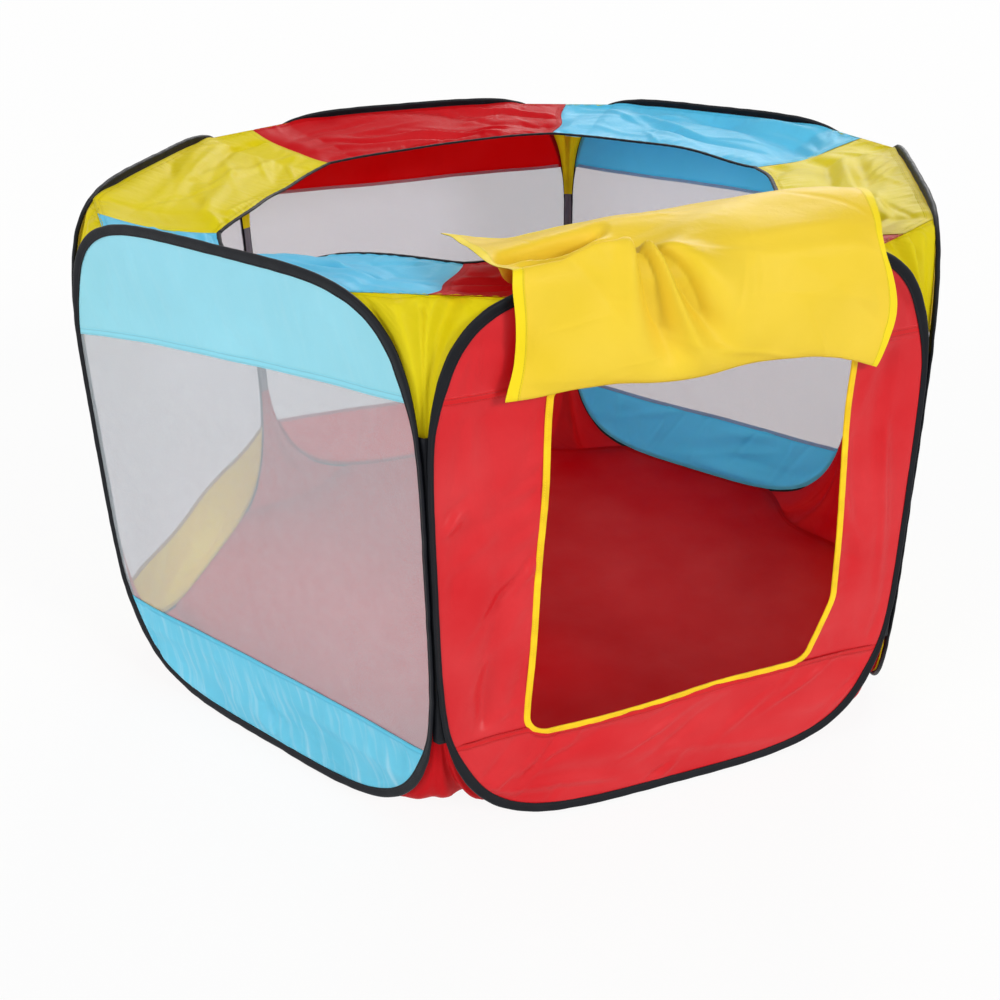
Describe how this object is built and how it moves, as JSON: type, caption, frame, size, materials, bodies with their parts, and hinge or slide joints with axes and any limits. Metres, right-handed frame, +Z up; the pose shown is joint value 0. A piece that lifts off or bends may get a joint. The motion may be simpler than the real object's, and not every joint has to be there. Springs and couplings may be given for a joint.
{
  "type": "portable playpen",
  "caption": "Pop-up hexagonal playpen: fabric panels on sprung wire hoops with netting windows, a visor round the top, a cloth floor, and a door opening whose flap turns up over the frame.",
  "frame": {"origin": "centre of the floor sheet's underside, on the ground, on the pen's upright axis", "axes": "+Z up, -Y towards the door panel, +X to the right as seen from in front of the door"},
  "size_m": [1.249, 1.1009, 0.717],
  "materials": {
    "spring_steel": "bright drawn spring wire",
    "edge_tape": "matt black woven binding tape",
    "cloth_red": "plain weave polyester with a soft sheen",
    "cloth_yellow": "plain weave polyester with a soft sheen",
    "cloth_blue": "plain weave polyester with a soft sheen",
    "yellow_trim": "folded polyester piping",
    "rim_elastic": "matt black elastic cord casing",
    "netting": "fine knitted netting, see-through in life"
  },
  "bodies": {
    "panel_door": {"wire_door": "spring_steel", "ferrule_door": "spring_steel", "sleeve_door": "edge_tape", "upper_band_door": "cloth_red", "lower_band_door": "cloth_red", "visor_door": "cloth_red", "door_side_left": "cloth_red", "door_side_right": "cloth_red", "door_piping": "yellow_trim", "visor_rim": "rim_elastic", "floor": "cloth_red", "top_gusset_1": "cloth_yellow", "bottom_gusset_1": "cloth_red", "top_gusset_2": "cloth_yellow", "bottom_gusset_2": "cloth_red"},
    "panel_right": {"wire_right": "spring_steel", "ferrule_right": "spring_steel", "sleeve_right": "edge_tape", "upper_band_right": "cloth_yellow", "lower_band_right": "cloth_yellow", "visor_right": "cloth_yellow", "net_right": "netting", "top_gusset_3": "cloth_yellow", "bottom_gusset_3": "cloth_red"},
    "panel_back_right": {"wire_back_right": "spring_steel", "ferrule_back_right": "spring_steel", "sleeve_back_right": "edge_tape", "upper_band_back_right": "cloth_blue", "lower_band_back_right": "cloth_blue", "visor_back_right": "cloth_blue", "net_back_right": "netting"},
    "panel_back": {"wire_back": "spring_steel", "ferrule_back": "spring_steel", "sleeve_back": "edge_tape", "upper_band_back": "cloth_red", "lower_band_back": "cloth_red", "visor_back": "cloth_red", "net_back": "netting", "top_gusset_4": "cloth_yellow", "bottom_gusset_4": "cloth_red"},
    "panel_left": {"wire_left": "spring_steel", "ferrule_left": "spring_steel", "sleeve_left": "edge_tape", "upper_band_left": "cloth_yellow", "lower_band_left": "cloth_yellow", "visor_left": "cloth_yellow", "net_left": "netting", "top_gusset_5": "cloth_yellow", "bottom_gusset_5": "cloth_red"},
    "panel_front_left": {"wire_front_left": "spring_steel", "ferrule_front_left": "spring_steel", "sleeve_front_left": "edge_tape", "upper_band_front_left": "cloth_blue", "lower_band_front_left": "cloth_blue", "visor_front_left": "cloth_blue", "net_front_left": "netting", "top_gusset_6": "cloth_yellow", "bottom_gusset_6": "cloth_red"},
    "flap_front": {"flap_front": "cloth_yellow"},
    "flap_top": {"flap_top": "cloth_yellow"}
  },
  "joints": [
    {"name": "fold_right_front", "type": "hinge", "parent": "panel_door", "child": "panel_right", "pos_m": [0.31, -0.53694, 0], "axis": [0, 0, -1], "range_deg": [0, 55], "deforming": ["visor_door", "visor_right", "visor_back_right", "visor_back", "visor_left", "visor_front_left", "visor_rim", "top_gusset_1", "top_gusset_2", "top_gusset_3", "top_gusset_4", "top_gusset_5", "top_gusset_6", "bottom_gusset_1", "bottom_gusset_2", "bottom_gusset_3", "bottom_gusset_4", "bottom_gusset_5", "bottom_gusset_6", "flap_top", "floor"]},
    {"name": "fold_right_back", "type": "hinge", "parent": "panel_right", "child": "panel_back_right", "pos_m": [0.62, 0, 0], "axis": [0, 0, 1], "range_deg": [0, 110], "deforming": ["visor_door", "visor_right", "visor_back_right", "visor_back", "visor_left", "visor_front_left", "visor_rim", "top_gusset_1", "top_gusset_2", "top_gusset_3", "top_gusset_4", "top_gusset_5", "top_gusset_6", "bottom_gusset_1", "bottom_gusset_2", "bottom_gusset_3", "bottom_gusset_4", "bottom_gusset_5", "bottom_gusset_6", "flap_top", "floor"]},
    {"name": "fold_left_front", "type": "hinge", "parent": "panel_door", "child": "panel_front_left", "pos_m": [-0.31, -0.53694, 0], "axis": [0, 0, 1], "range_deg": [0, 55], "deforming": ["visor_door", "visor_right", "visor_back_right", "visor_back", "visor_left", "visor_front_left", "visor_rim", "top_gusset_1", "top_gusset_2", "top_gusset_3", "top_gusset_4", "top_gusset_5", "top_gusset_6", "bottom_gusset_1", "bottom_gusset_2", "bottom_gusset_3", "bottom_gusset_4", "bottom_gusset_5", "bottom_gusset_6", "flap_top", "floor"]},
    {"name": "fold_left_back", "type": "hinge", "parent": "panel_front_left", "child": "panel_left", "pos_m": [-0.62, 0, 0], "axis": [0, 0, -1], "range_deg": [0, 110], "deforming": ["visor_door", "visor_right", "visor_back_right", "visor_back", "visor_left", "visor_front_left", "visor_rim", "top_gusset_1", "top_gusset_2", "top_gusset_3", "top_gusset_4", "top_gusset_5", "top_gusset_6", "bottom_gusset_1", "bottom_gusset_2", "bottom_gusset_3", "bottom_gusset_4", "bottom_gusset_5", "bottom_gusset_6", "flap_top", "floor"]},
    {"name": "fold_back", "type": "hinge", "parent": "panel_left", "child": "panel_back", "pos_m": [-0.31, 0.53694, 0], "axis": [0, 0, 1], "range_deg": [0, 55], "deforming": ["visor_door", "visor_right", "visor_back_right", "visor_back", "visor_left", "visor_front_left", "visor_rim", "top_gusset_1", "top_gusset_2", "top_gusset_3", "top_gusset_4", "top_gusset_5", "top_gusset_6", "bottom_gusset_1", "bottom_gusset_2", "bottom_gusset_3", "bottom_gusset_4", "bottom_gusset_5", "bottom_gusset_6", "flap_top", "floor"]},
    {"name": "flap_swing", "type": "hinge", "parent": "panel_door", "child": "flap_front", "pos_m": [0, -0.55494, 0.5728], "axis": [1, 0, 0], "range_deg": [0, 180]},
    {"name": "flap_fold", "type": "hinge", "parent": "flap_front", "child": "flap_top", "pos_m": [0, -0.54794, 0.7033], "axis": [1, 0, 0], "range_deg": [0, 90]}
  ],
  "couplings": [
    {"joint": "fold_left_back", "follows": "fold_left_front", "ratio": 2},
    {"joint": "fold_back", "follows": "fold_left_front", "ratio": 1},
    {"joint": "fold_right_front", "follows": "fold_left_front", "ratio": 1},
    {"joint": "fold_right_back", "follows": "fold_left_front", "ratio": 2},
    {"joint": "flap_fold", "follows": "flap_swing", "ratio": 0.5}
  ]
}
